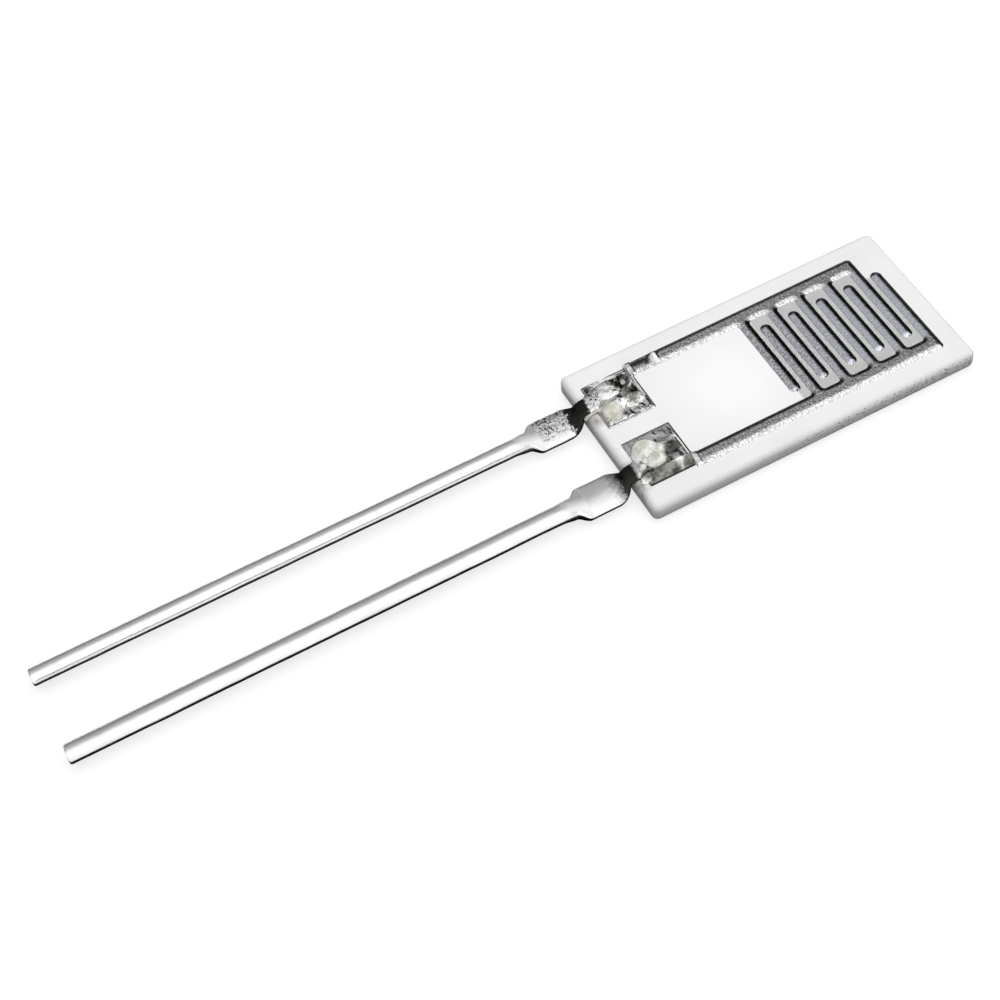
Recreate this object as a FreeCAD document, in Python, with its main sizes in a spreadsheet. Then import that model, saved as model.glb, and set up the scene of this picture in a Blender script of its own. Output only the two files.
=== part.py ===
import FreeCAD, Part
import os
import Sketcher
from math import pi
from FreeCAD import Placement, Rotation, Vector

# Bare resistive humidity element: an alumina plate with two printed comb electrodes,
# two solder pads, a clear sensing film and two flattened wire leads soldered on top.
# Millimetres. The origin is the centre of the plate's underside, +Z up. The leads run
# towards -X, and "back" is the +Y side.

os.makedirs("parts", exist_ok=True)
doc = FreeCAD.newDocument("HumidityElement")

SIZES = [
    ("substrate_length", 10.1, "plate, along the leads"),
    ("substrate_width", 5.18, "plate, across the leads"),
    ("substrate_thickness", 0.635, "25 thousandths of an inch, a standard alumina plate"),
    ("substrate_edge_radius", 0.2, "the plate's fired edges and corners"),
    ("pad_end_margin", 0.3, "plate's lead end to a pad"),
    ("pad_length", 1.475, "pad, along the leads"),
    ("pad_gap", 0.6, "between the two pads"),
    ("pad_track_step", 0.1, "track's outer side past the pad's outer side"),
    ("pad_thickness", 0.03, "printed pad layer"),
    ("tongue_root", 0.1, "pad's tongue, from its start on the pad to the pad's side"),
    ("tongue_lap", 0.12, "how far the tongue laps over the track's end"),
    ("tongue_inset", 0.02, "tongue's side inside the track's side"),
    ("comb_side_margin", 0.59, "plate's long side to a track"),
    ("bus_width", 0.48, "track along the long side"),
    ("electrode_thickness", 0.07, "printed electrode layer"),
    ("finger_width", 0.33, "finger"),
    ("finger_period", 0.9, "from one finger to the next of the same comb"),
    ("finger_count", 5, "fingers on each comb"),
    ("first_finger_reach", 5.26, "plate's lead end to the back comb's first finger"),
    ("finger_end_gap", 0.3, "finger's tip to the other comb's track"),
    ("comb_inner_radius", 0.1, "inner corner between a finger and its track"),
    ("ridge_reach", 2.48, "plate's lead end to the ridge where the back track is printed twice"),
    ("ridge_length", 0.18, "ridge, along the track"),
    ("ridge_height", 0.02, "ridge above the track"),
    ("film_thickness", 0.015, "sensing film between the fingers, below their tops"),
    ("back_lead_inset", 0.67, "pad's outer side to the back lead's line, for leads 2.54 apart"),
    ("front_lead_inset", 0.59, "pad's outer side to the front lead's line, for leads 2.54 apart"),
    ("lead_axis_height", 0.445, "wire's axis above the plate's underside"),
    ("lead_reach", 16.05, "plate's lead end to a wire's tip"),
    ("back_wire_diameter", 0.5, "back lead's tinned wire"),
    ("front_wire_diameter", 0.56, "front lead's wire, with a thicker coat of tin"),
    ("wire_tip_radius", 0.06, "rounded rim of a wire's cut end"),
    ("flat_thickness", 0.16, "flattened part of a lead"),
    ("back_paddle_width", 0.9, "back lead's paddle"),
    ("front_paddle_width", 0.97, "front lead's paddle"),
    ("paddle_reach", 1.42, "plate's lead end to the paddle's outer end"),
    ("press_length", 0.32, "where the round wire turns into the flat paddle"),
    ("shoulder_reach", 0.55, "plate's lead end to where the paddle starts to narrow"),
    ("shoulder_length", 0.38, "length over which the paddle narrows to the neck"),
    ("neck_width", 0.5, "neck over the plate's end"),
    ("neck_length", 0.3, "neck, up to where it widens again"),
    ("tab_width", 0.6, "soldered tab"),
    ("tab_flare", 0.12, "length over which the neck widens to the tab"),
    ("tab_tip_margin", 0.255, "tab's tip to the pad's inner end"),
    ("tab_corner_radius", 0.1, "tab's two corners"),
    ("step_run", 0.64, "length of the step up to the tab"),
    ("step_lap", 0.13, "how far the step's top runs in over the plate"),
    ("solder_margin", 0.05, "pad's side to the solder's foot"),
    ("skirt_height", 0.12, "solder spread round the tab"),
    ("dome_height", 0.26, "back joint's dome above the pad"),
    ("dome_length", 0.84, "back joint's dome, along the lead"),
    ("dome_width", 1.0, "back joint's dome, across the lead"),
    ("dome_reach", 0.9, "plate's lead end to the dome's middle"),
    ("blob_height", 0.36, "front joint's round blob above the pad"),
    ("blob_length", 0.84, "front joint's blob, along the lead"),
    ("blob_width", 1.04, "front joint's blob, across the lead"),
    ("blob_reach", 0.77, "plate's lead end to the blob's middle"),
    ("blob_shift", 0.31, "blob's middle behind its lead's line"),
]

sheet = doc.addObject("Spreadsheet::Sheet", "sizes")
for row, (alias, value, note) in enumerate(SIZES, start=1):
    sheet.set(f"A{row}", alias)
    sheet.set(f"B{row}", str(value))
    sheet.set(f"C{row}", note)
    sheet.setAlias(f"B{row}", alias)
doc.recompute()

BACK = 1
FRONT = -1
SIDE_NAMES = {BACK: "back", FRONT: "front"}
TOLERANCE = 1e-4

# Places that several pieces share, as expressions on the sheet
LEAD_END = "(-sizes.substrate_length / 2)"
TOP = "sizes.substrate_thickness"
PAD_TOP = f"({TOP} + sizes.pad_thickness)"
PAD_LEFT = f"({LEAD_END} + sizes.pad_end_margin)"
PAD_RIGHT = f"({PAD_LEFT} + sizes.pad_length)"
BUS_OUTER = "(sizes.substrate_width / 2 - sizes.comb_side_margin)"
BUS_INNER = f"({BUS_OUTER} - sizes.bus_width)"
PAD_INNER = "(sizes.pad_gap / 2)"
PAD_OUTER = f"({BUS_OUTER} - sizes.pad_track_step)"
PADDLE_END = f"({LEAD_END} - sizes.paddle_reach)"
PRESS_END = f"({PADDLE_END} - sizes.press_length)"
TAB_REACH = "(sizes.pad_end_margin + sizes.pad_length - sizes.tab_tip_margin)"
TAB_TIP = f"({LEAD_END} + {TAB_REACH})"
STEP_RISE = f"({PAD_TOP} + sizes.flat_thickness / 2 - sizes.lead_axis_height)"
STEP_LEVEL = "(sizes.paddle_reach + sizes.step_lap - sizes.step_run)"
TAB_RUN = f"({TAB_REACH} - sizes.step_lap)"


def first_finger(side):
    """Middle of a comb's first finger. The front comb lies half a period further."""
    shift = "sizes.finger_period / 2" if side == FRONT else "0"
    return f"({LEAD_END} + sizes.first_finger_reach + {shift})"


def comb_right(side):
    """A track ends flush with its last finger."""
    run = "(sizes.finger_count - 1) * sizes.finger_period"
    return f"({first_finger(side)} + {run} + sizes.finger_width / 2)"


def lead_line(side):
    """The lead's middle line across the plate, in from the outer side of its pad."""
    return f"({side} * ({PAD_OUTER} - {lead_size(side, 'lead_inset')}))"


def lead_size(side, name):
    """A size that each lead has for itself."""
    return f"sizes.{SIDE_NAMES[side]}_{name}"


def across(side, inner, outer):
    """The lower and the higher Y of a strip between two distances from the middle."""
    return (inner, outer) if side == BACK else (f"(-{outer})", f"(-{inner})")


def now(expression):
    """The number that an expression on the sheet gives."""
    return float(sheet.evalExpression(expression))


# Sketches and features

def origin_feature(body, role):
    return next(feature for feature in body.Origin.OriginFeatures if feature.Role == role)


def new_sketch(body, name, role, place, turn=0):
    """A sketch on an origin plane, shifted in the plane and off it, then turned in it."""
    sketch = body.newObject("Sketcher::SketchObject", name)
    sketch.AttachmentSupport = [(origin_feature(body, role), "")]
    sketch.MapMode = "FlatFace"
    sketch.AttachmentOffset = Placement(Vector(), Rotation(Vector(0, 0, 1), turn))
    for axis, expression in zip("xyz", place):
        sketch.setExpression(f"AttachmentOffset.Base.{axis}", expression)
    return sketch


def bind(sketch, kind, references, name, expression):
    """A named dimension that follows the sheet."""
    sketch.addConstraint(Sketcher.Constraint(kind, *references, now(expression)))
    sketch.renameConstraint(sketch.ConstraintCount - 1, name)
    sketch.setExpression(f"Constraints.{name}", expression)


def join(sketch, kind, *references):
    sketch.addConstraint(Sketcher.Constraint(kind, *references))


def rectangle(sketch, along, wide):
    """A rectangle about the sketch's origin."""
    half_x, half_y = now(along) / 2, now(wide) / 2
    corners = [Vector(-half_x, -half_y), Vector(half_x, -half_y),
               Vector(half_x, half_y), Vector(-half_x, half_y)]
    for index in range(4):
        sketch.addGeometry(Part.LineSegment(corners[index], corners[(index + 1) % 4]))
    for index, kind in enumerate(("Horizontal", "Vertical", "Horizontal", "Vertical")):
        join(sketch, "Coincident", index, 2, (index + 1) % 4, 1)
        join(sketch, kind, index)
    join(sketch, "Symmetric", 0, 1, 2, 1, -1, 1)
    bind(sketch, "DistanceX", (0, 1, 0, 2), "along", along)
    bind(sketch, "DistanceY", (1, 1, 1, 2), "wide", wide)


def pad_up(body, name, sketch, length, reverse=False):
    """A Pad of the sketch to a length from the sheet."""
    pad = body.newObject("PartDesign::Pad", name)
    pad.Profile = sketch
    pad.Reversed = reverse
    pad.setExpression("Length", length)
    body.Tip = pad
    doc.recompute()
    return pad


def block(body, name, left, right, low, high, height, floor=TOP):
    """A rectangle with a height, on the plate's top unless the floor says otherwise."""
    middle = (f"({left} + {right}) / 2", f"({low} + {high}) / 2", floor)
    sketch = new_sketch(body, f"{name}_outline", "XY_Plane", middle)
    rectangle(sketch, f"{right} - {left}", f"{high} - {low}")
    return pad_up(body, name, sketch, height)


def edges_where(shape, wanted):
    """Names of the edges whose middle point and end-to-end span pass the test."""
    names = []
    for index, edge in enumerate(shape.Edges, start=1):
        middle = edge.valueAt((edge.FirstParameter + edge.LastParameter) / 2)
        span = edge.Vertexes[-1].Point - edge.Vertexes[0].Point
        if wanted(middle, span):
            names.append(f"Edge{index}")
    return names


def upright(span):
    return abs(span.z) > TOLERANCE and abs(span.x) + abs(span.y) < TOLERANCE


def round_edges(body, name, wanted, radius):
    """A Fillet of the tip's edges that pass the test."""
    base = body.Tip
    fillet = body.newObject("PartDesign::Fillet", name)
    fillet.Base = (base, edges_where(base.Shape, wanted))
    fillet.setExpression("Radius", radius)
    body.Tip = fillet
    doc.recompute()
    return fillet


def cut(name, base, tool):
    piece = doc.addObject("Part::Cut", name)
    piece.Base = base
    piece.Tool = tool
    doc.recompute()
    return piece


# Alumina plate

def make_plate():
    body = doc.addObject("PartDesign::Body", "plate")
    half_width = "(sizes.substrate_width / 2)"
    block(body, "blank", LEAD_END, f"(-{LEAD_END})", f"(-{half_width})", half_width, TOP,
          floor="0")
    round_edges(body, "fired_edges", lambda middle, span: True, "sizes.substrate_edge_radius")
    return body


# Solder pad with a tongue that laps over the track's end

def make_pad(side, comb):
    name = SIDE_NAMES[side]
    body = doc.addObject("PartDesign::Body", f"{name}_pad_print")
    low, high = across(side, PAD_INNER, PAD_OUTER)
    block(body, f"{name}_pad_square", PAD_LEFT, PAD_RIGHT, low, high, "sizes.pad_thickness")
    low, high = across(side, f"({BUS_INNER} + sizes.tongue_inset)",
                       f"({BUS_OUTER} - sizes.tongue_inset)")
    block(body, f"{name}_tongue", f"({PAD_RIGHT} - sizes.tongue_root)",
          f"({PAD_RIGHT} + sizes.tongue_lap)", low, high,
          "sizes.electrode_thickness + sizes.pad_thickness")
    return cut(f"{name}_pad", body, comb)


# Comb electrode: a track along the long side with parallel round-ended fingers

def finger_outline(sketch, length):
    """A strip from its root, inside the track, down to a half-round tip at the origin."""
    radius = now("sizes.finger_width") / 2
    root = now(length)
    circle = Part.Circle(Vector(), Vector(0, 0, 1), radius)
    sketch.addGeometry(Part.ArcOfCircle(circle, pi, 2 * pi))
    sketch.addGeometry(Part.LineSegment(Vector(radius, 0), Vector(radius, root)))
    sketch.addGeometry(Part.LineSegment(Vector(radius, root), Vector(-radius, root)))
    sketch.addGeometry(Part.LineSegment(Vector(-radius, root), Vector(-radius, 0)))
    join(sketch, "Coincident", 0, 3, -1, 1)
    join(sketch, "Tangent", 0, 2, 1, 1)
    join(sketch, "Coincident", 1, 2, 2, 1)
    join(sketch, "Coincident", 2, 2, 3, 1)
    join(sketch, "Tangent", 3, 2, 0, 1)
    join(sketch, "Vertical", 1)
    join(sketch, "Horizontal", 2)
    bind(sketch, "DistanceX", (2, 2, 2, 1), "finger_width", "sizes.finger_width")
    bind(sketch, "DistanceY", (1, 1, 1, 2), "length", length)


def make_comb(side):
    name = SIDE_NAMES[side]
    body = doc.addObject("PartDesign::Body", f"{name}_comb")
    right = comb_right(side)
    low, high = across(side, BUS_INNER, BUS_OUTER)
    block(body, f"{name}_track", PAD_RIGHT, right, low, high, "sizes.electrode_thickness")

    tip_centre = f"({BUS_INNER} - sizes.finger_end_gap - sizes.finger_width / 2)"
    place = (first_finger(side), f"{-side} * {tip_centre}", TOP)
    sketch = new_sketch(body, f"{name}_finger_outline", "XY_Plane", place,
                        turn=0 if side == BACK else 180)
    finger_outline(sketch, f"{tip_centre} + {BUS_INNER} + sizes.bus_width / 2")
    finger = pad_up(body, f"{name}_finger", sketch, "sizes.electrode_thickness")

    fingers = body.newObject("PartDesign::LinearPattern", f"{name}_fingers")
    fingers.Originals = [finger]
    fingers.Direction = (origin_feature(body, "X_Axis"), [""])
    fingers.Mode = "Spacing"
    fingers.setExpression("Offset", "sizes.finger_period")
    fingers.setExpression("Occurrences", "sizes.finger_count")
    body.Tip = fingers
    doc.recompute()

    inner_y = side * now(BUS_INNER)
    start_x = now(PAD_RIGHT)
    round_edges(body, f"{name}_inner_corners",
                lambda middle, span: upright(span) and abs(middle.y - inner_y) < TOLERANCE
                and middle.x > start_x + TOLERANCE, "sizes.comb_inner_radius")

    if side == BACK:
        ridge = f"({LEAD_END} + sizes.ridge_reach)"
        block(body, "ridge", ridge, f"({ridge} + sizes.ridge_length)", low, high,
              "sizes.electrode_thickness + sizes.ridge_height")
    return body


# Clear film that fills the winding gap between the two combs, which stand just proud of it

def make_film(combs):
    sheet_box = doc.addObject("Part::Box", "film_sheet")
    left = first_finger(BACK)
    right = f"({comb_right(FRONT)} - sizes.finger_width / 2)"
    sheet_box.setExpression("Length", f"{right} - {left}")
    sheet_box.setExpression("Width", f"2 * {BUS_INNER}")
    sheet_box.setExpression("Height", "sizes.film_thickness")
    sheet_box.setExpression("Placement.Base.x", left)
    sheet_box.setExpression("Placement.Base.y", f"-{BUS_INNER}")
    sheet_box.setExpression("Placement.Base.z", TOP)
    doc.recompute()
    return cut("film", cut("film_past_back_comb", sheet_box, combs[BACK]), combs[FRONT])


# Lead: round wire, pressed flat to a paddle, necked, stepped up and laid on its pad

def quarter_circle_outline(sketch, diameter):
    """A circle in four arcs, so that each one lofts into one side of the flat section."""
    radius = now(diameter) / 2
    circle = Part.Circle(Vector(), Vector(0, 0, 1), radius)
    for index in range(4):
        start = (2 * index - 3) * pi / 4
        sketch.addGeometry(Part.ArcOfCircle(circle, start, start + pi / 2))
    for index in range(4):
        join(sketch, "Coincident", index, 2, (index + 1) % 4, 1)
        join(sketch, "Coincident", index, 3, -1, 1)
    join(sketch, "Horizontal", 0, 1, 0, 2)
    join(sketch, "Vertical", 1, 1, 1, 2)
    join(sketch, "Horizontal", 2, 1, 2, 2)
    bind(sketch, "Diameter", (0,), "diameter", diameter)
    bind(sketch, "DistanceX", (0, 1, 0, 2), "side", f"{diameter} / sqrt(2)")


def step_path(sketch):
    """The flat part's middle line: level paddle, two equal arcs up, level tab."""
    level = now(STEP_LEVEL)
    run = now("sizes.step_run")
    rise = now(STEP_RISE)
    tab = now(TAB_RUN)
    radius = (run ** 2 + rise ** 2) / (4 * rise)
    half_way = Vector(level + run / 2, rise / 2)
    lower = Part.Circle(Vector(level, radius), Vector(0, 0, 1), radius)
    upper = Part.Circle(Vector(level + run, rise - radius), Vector(0, 0, 1), radius)
    sketch.addGeometry(Part.LineSegment(Vector(0, 0), Vector(level, 0)))
    sketch.addGeometry(Part.ArcOfCircle(lower, -pi / 2, lower.parameter(half_way) - 2 * pi))
    sketch.addGeometry(Part.ArcOfCircle(upper, pi / 2, upper.parameter(half_way)))
    sketch.addGeometry(Part.LineSegment(Vector(level + run, rise), Vector(level + run + tab, rise)))
    join(sketch, "Coincident", 0, 1, -1, 1)
    join(sketch, "Horizontal", 0)
    join(sketch, "Tangent", 0, 2, 1, 1)
    join(sketch, "Tangent", 1, 2, 2, 2)
    join(sketch, "Tangent", 2, 1, 3, 1)
    join(sketch, "Equal", 1, 2)
    bind(sketch, "DistanceX", (0, 1, 0, 2), "level", STEP_LEVEL)
    bind(sketch, "DistanceX", (0, 2, 3, 1), "step_run", "sizes.step_run")
    bind(sketch, "DistanceY", (0, 2, 3, 1), "step_rise", STEP_RISE)
    bind(sketch, "DistanceX", (3, 1, 3, 2), "tab_run", TAB_RUN)


def trim_outline(sketch, width, hand):
    """What is trimmed off one side of the flat part, from the shoulder to past the tip."""
    points = [
        ("0", f"{width} / 2"),
        ("sizes.shoulder_length", "sizes.neck_width / 2"),
        ("sizes.shoulder_length + sizes.neck_length", "sizes.neck_width / 2"),
        ("sizes.shoulder_length + sizes.neck_length + sizes.tab_flare", "sizes.tab_width / 2"),
        (f"sizes.shoulder_reach + {TAB_REACH} + sizes.tab_width", "sizes.tab_width / 2"),
        (f"sizes.shoulder_reach + {TAB_REACH} + sizes.tab_width", width),
        ("0", width),
    ]
    places = [Vector(now(x), hand * now(y)) for x, y in points]
    narrowing = places[0].y - places[1].y
    run = places[1].x
    radius = (run ** 2 + narrowing ** 2) / (2 * abs(narrowing))
    centre = Vector(0, places[0].y - hand * radius)
    shoulder = Part.Circle(centre, Vector(0, 0, 1), radius)
    angles = sorted(shoulder.parameter(place) for place in places[:2])
    first = sketch.GeometryCount
    sketch.addGeometry(Part.ArcOfCircle(shoulder, *angles))
    start, end = (2, 1) if hand > 0 else (1, 2)
    count = len(points)
    for index in range(1, count):
        line = Part.LineSegment(places[index], places[(index + 1) % count])
        sketch.addGeometry(line)
    join(sketch, "Coincident", first, end, first + 1, 1)
    for index in range(1, count - 1):
        join(sketch, "Coincident", first + index, 2, first + index + 1, 1)
    join(sketch, "Coincident", first + count - 1, 2, first, start)
    join(sketch, "PointOnObject", first, 3, -2)
    for index, (x, y) in enumerate(points):
        vertex = (first + index, 1) if index else (first, start)
        label = f"{'left' if hand > 0 else 'right'}_{index}"
        if x == "0":
            join(sketch, "PointOnObject", *vertex, -2)
        else:
            bind(sketch, "DistanceX", (-1, 1, *vertex), f"{label}_x", x)
        ends = (-1, 1, *vertex) if hand > 0 else (*vertex, -1, 1)
        bind(sketch, "DistanceY", ends, f"{label}_y", y)


def make_lead(side):
    name = SIDE_NAMES[side]
    body = doc.addObject("PartDesign::Body", f"{name}_lead_wire")
    line = lead_line(side)
    axis = "sizes.lead_axis_height"
    diameter = lead_size(side, "wire_diameter")
    width = lead_size(side, "paddle_width")

    section = new_sketch(body, f"{name}_wire_section", "YZ_Plane", (line, axis, PRESS_END))
    section.addGeometry(Part.Circle(Vector(), Vector(0, 0, 1), now(diameter) / 2))
    join(section, "Coincident", 0, 3, -1, 1)
    bind(section, "Diameter", (0,), "diameter", diameter)
    pad_up(body, f"{name}_wire", section,
           "sizes.lead_reach - sizes.paddle_reach - sizes.press_length", reverse=True)
    tip_x = now(f"{LEAD_END} - sizes.lead_reach")
    round_edges(body, f"{name}_wire_tip", lambda middle, span: abs(middle.x - tip_x) < TOLERANCE,
                "sizes.wire_tip_radius")

    round_end = new_sketch(body, f"{name}_press_start", "YZ_Plane", (line, axis, PRESS_END))
    quarter_circle_outline(round_end, diameter)
    flat_end = new_sketch(body, f"{name}_press_end", "YZ_Plane", (line, axis, PADDLE_END))
    rectangle(flat_end, width, "sizes.flat_thickness")
    press = body.newObject("PartDesign::AdditiveLoft", f"{name}_press")
    press.Profile = round_end
    press.Sections = [flat_end]
    press.Ruled = True
    body.Tip = press
    doc.recompute()

    path = new_sketch(body, f"{name}_step_path", "XZ_Plane", (PADDLE_END, axis, f"-{line}"))
    step_path(path)
    strip_end = new_sketch(body, f"{name}_strip_section", "YZ_Plane", (line, axis, PADDLE_END))
    rectangle(strip_end, width, "sizes.flat_thickness")
    doc.recompute()
    strip = body.newObject("PartDesign::AdditivePipe", f"{name}_strip")
    strip.Profile = strip_end
    strip.Spine = (path, ["Edge1", "Edge2", "Edge3", "Edge4"])
    body.Tip = strip
    doc.recompute()

    shoulder = f"({LEAD_END} - sizes.shoulder_reach)"
    outline = new_sketch(body, f"{name}_trim_outline", "XY_Plane", (shoulder, line, "0"))
    for hand in (1, -1):
        trim_outline(outline, width, hand)
    trim = body.newObject("PartDesign::Pocket", f"{name}_trim")
    trim.Profile = outline
    trim.SideType = "Symmetric"
    trim.setExpression("Length", f"4 * {PAD_TOP}")
    body.Tip = trim
    doc.recompute()

    tab_x = now(TAB_TIP)
    round_edges(body, f"{name}_tab_corners",
                lambda middle, span: upright(span) and abs(middle.x - tab_x) < TOLERANCE,
                "sizes.tab_corner_radius")
    return body


# Solder: a low spread over the pad and a dome over the tab, less the tab itself

def drop(name, length, wide, height, x, y):
    """An ellipsoid whose middle lies on the pad's top."""
    shape = doc.addObject("Part::Ellipsoid", name)
    shape.setExpression("Radius1", height)
    shape.setExpression("Radius2", f"{length} / 2")
    shape.setExpression("Radius3", f"{wide} / 2")
    shape.setExpression("Placement.Base.x", x)
    shape.setExpression("Placement.Base.y", y)
    shape.setExpression("Placement.Base.z", PAD_TOP)
    return shape


def make_joint(side, lead):
    name = SIDE_NAMES[side]
    low, high = across(side, PAD_INNER, PAD_OUTER)
    spread = drop(f"{name}_solder_spread", "(sizes.pad_length - 2 * sizes.solder_margin)",
                  f"({PAD_OUTER} - {PAD_INNER} - 2 * sizes.solder_margin)",
                  "sizes.skirt_height",
                  f"({PAD_LEFT} + {PAD_RIGHT}) / 2", f"({low} + {high}) / 2")
    if side == BACK:
        dome = drop("back_solder_dome", "sizes.dome_length", "sizes.dome_width",
                    "sizes.dome_height", f"{LEAD_END} + sizes.dome_reach", lead_line(side))
    else:
        dome = drop("front_solder_blob", "sizes.blob_length", "sizes.blob_width",
                    "sizes.blob_height", f"{LEAD_END} + sizes.blob_reach",
                    f"{lead_line(side)} + sizes.blob_shift")
    melt = doc.addObject("Part::MultiFuse", f"{name}_solder_melt")
    melt.Shapes = [spread, dome]
    room = doc.addObject("Part::Box", f"{name}_solder_room")
    room.setExpression("Length", f"{PAD_RIGHT} - {PAD_LEFT}")
    room.setExpression("Width", f"{high} - {low}")
    room.setExpression("Height", f"{PAD_TOP} + sizes.blob_height")
    room.setExpression("Placement.Base.x", PAD_LEFT)
    room.setExpression("Placement.Base.y", low)
    room.setExpression("Placement.Base.z", PAD_TOP)
    wetted = doc.addObject("Part::Common", f"{name}_solder_wetted")
    wetted.Base = melt
    wetted.Tool = room
    doc.recompute()
    return cut(f"{name}_solder", wetted, lead)


# Whole element

plate = make_plate()
combs = {side: make_comb(side) for side in (BACK, FRONT)}
pads = {side: make_pad(side, combs[side]) for side in (BACK, FRONT)}
film = make_film(combs)
leads = {side: make_lead(side) for side in (BACK, FRONT)}
joints = {side: make_joint(side, leads[side]) for side in (BACK, FRONT)}

nodes = {"ceramic_substrate": plate, "sensing_film": film}
for side, name in SIDE_NAMES.items():
    nodes[f"{name}_solder_pad"] = pads[side]
    nodes[f"{name}_electrode_comb"] = combs[side]
    nodes[f"{name}_lead"] = leads[side]
    nodes[f"{name}_solder_joint"] = joints[side]

doc.recompute()
for item in doc.Objects:
    if {"Invalid", "Error"} & set(item.State):
        raise RuntimeError(f"{item.Name} failed: {item.State}")
for node, item in nodes.items():
    item.Label = node
    shape = item.Shape
    if shape.isNull() or not shape.isValid() or len(shape.Solids) != 1:
        raise RuntimeError(f"{node} is not one valid solid")
for node, item in nodes.items():
    item.Shape.exportStep(f"parts/{node}.step")
    box = item.Shape.optimalBoundingBox(False, False)
    print(f"{node:22s} {item.Shape.Volume:9.5f} mm3  x {box.XMin:.3f} {box.XMax:.3f}  "
          f"y {box.YMin:.3f} {box.YMax:.3f}  z {box.ZMin:.3f} {box.ZMax:.3f}")
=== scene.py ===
import math
import bpy
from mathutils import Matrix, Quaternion, Vector, geometry, noise


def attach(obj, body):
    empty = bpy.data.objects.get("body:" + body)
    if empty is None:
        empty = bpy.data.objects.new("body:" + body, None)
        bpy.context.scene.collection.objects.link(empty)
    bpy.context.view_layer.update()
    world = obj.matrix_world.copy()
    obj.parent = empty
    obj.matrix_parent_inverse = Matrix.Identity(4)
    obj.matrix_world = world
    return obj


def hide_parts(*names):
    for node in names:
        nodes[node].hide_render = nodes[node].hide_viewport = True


# Bare resistive humidity element. Lengths in this file are millimetres in the row's frame,
# and every mesh is scaled to metres as it is made.

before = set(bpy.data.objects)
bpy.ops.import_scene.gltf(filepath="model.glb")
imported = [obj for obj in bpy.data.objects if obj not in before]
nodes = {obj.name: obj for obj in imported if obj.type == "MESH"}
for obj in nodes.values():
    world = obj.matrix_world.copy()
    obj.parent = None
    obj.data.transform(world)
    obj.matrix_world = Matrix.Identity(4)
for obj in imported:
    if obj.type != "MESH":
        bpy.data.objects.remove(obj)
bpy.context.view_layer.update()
MM = 0.001

# Sizes that follow the construction

LEAD_END = -5.05
PLATE_TOP = 0.635
PAD_LEFT = -4.75
PAD_RIGHT = -3.275
PAD_INNER = 0.3
PAD_OUTER = 1.9
BUS_INNER = 1.52
BUS_OUTER = 2.0
FINGER_HALF = 0.165
FINGER_TIP = 1.22
FIRST_FINGER = 0.21
PERIOD = 0.9
FINGERS = 5
TONGUE_LEFT = -3.375
TONGUE_RIGHT = -3.155
RIDGE_LEFT = -2.57
RIDGE_RIGHT = -2.39
LINES = {"back": 1.23, "front": -1.31}
AXIS_HEIGHT = 0.445
WIRE_TIP = -21.1
PRESS_START = -6.79
PRESS_END = -6.47
STEP_START = -5.56
STEP_STOP = -4.92
TAB_TIP = -3.53
TAB_TOP = 0.825
FLAT_HALF = 0.08
BURNT_START = -5.5
BURNT_END = -4.9

# Places that the photo shows, each (x, y, z)

# Centre of the painted highlight on the plate's top
HIGHLIGHT_PLACE = (-1.2, 0.0, 0.6)
RIDGE_TOP_HIGHLIGHT = (-2.48, 1.76, 0.75)
FLUX_STAINS = [(-4.98, 0.86, 0.6), (-4.85, 0.75, 0.64), (-5.05, -1.72, 0.55), (-5.08, -1.9, 0.5),
               (-4.9, -1.78, 0.64), (-5.08, -1.05, 0.5)]
FLUX_ROUTE = [(-5.14, 0.92, 0.58), (-5.06, 0.96, 0.62), (-4.93, 0.98, 0.66), (-4.78, 0.98, 0.7),
              (-4.6, 0.92, 0.72)]

# Colours. A pair is blended by a pattern.

ALUMINA = ((0.83, 0.83, 0.84), (0.87, 0.87, 0.87))
# Painted highlight colour for the middle of the plate
ALUMINA_HIGHLIGHT = (0.95, 0.95, 0.945)
# Painted shade colour for the plate's sides
SIDE_SHADE = (0.36, 0.36, 0.37)
GRIT = (0.2, 0.2, 0.21)
FLUX_STAIN = (0.33, 0.31, 0.27)
TRACK_SHADE = ((0.42, 0.42, 0.42), (0.58, 0.58, 0.58))
# Silver grain colour of the tracks, also the painted highlight on the ridge's top
TRACK_SILVER_AND_HIGHLIGHT = (0.99, 0.99, 0.99)
COARSE_FINGER = ((0.42, 0.42, 0.46), (0.95, 0.95, 1.0))
FINE_FINGER = ((0.76, 0.78, 0.88), (0.84, 0.86, 0.95))
PAD_SILVER = ((0.34, 0.34, 0.34), (0.92, 0.92, 0.91))
# Dark colour along the front pad's front edge
PAD_FRONT_DARK = (0.05, 0.05, 0.04)
# Painted highlight colour for the pad's tongue
TONGUE_HIGHLIGHT = (0.97, 0.97, 0.97)
# Painted shade colour for print slopes that face +X and +Y
PRINT_EDGE_SHADE = (0.015, 0.018, 0.015)
TIN = ((0.95, 0.95, 0.95), (0.82, 0.82, 0.815))
# Painted shade colour for the wire's underside
TIN_UNDERSIDE_SHADE = (0.07, 0.07, 0.07)
TIN_FLECK = (0.05, 0.05, 0.05)
# Painted light and shade colours for the press slopes, lit front and shaded back
PRESSED_TIN_LIGHT_AND_SHADE = ((0.9, 0.9, 0.9), (0.36, 0.36, 0.36))
SOLDER = ((0.94, 0.94, 0.93), (0.72, 0.72, 0.70))
SOLDER_FLECK = (0.05, 0.05, 0.045)
# Painted highlight colour on the solder
SOLDER_HIGHLIGHT = (0.98, 0.98, 0.97)
# Dark colours for patches on the solder
DARK_PATCH = ((0.03, 0.03, 0.025), (0.25, 0.25, 0.22))
# Painted highlight colour for the clear flux beads
BEAD_HIGHLIGHT = (0.93, 0.93, 0.90)
FLUX_BROWN = ((0.36, 0.35, 0.28), (0.68, 0.67, 0.58))
FILM_TINT = (0.84, 0.86, 0.72)


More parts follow.
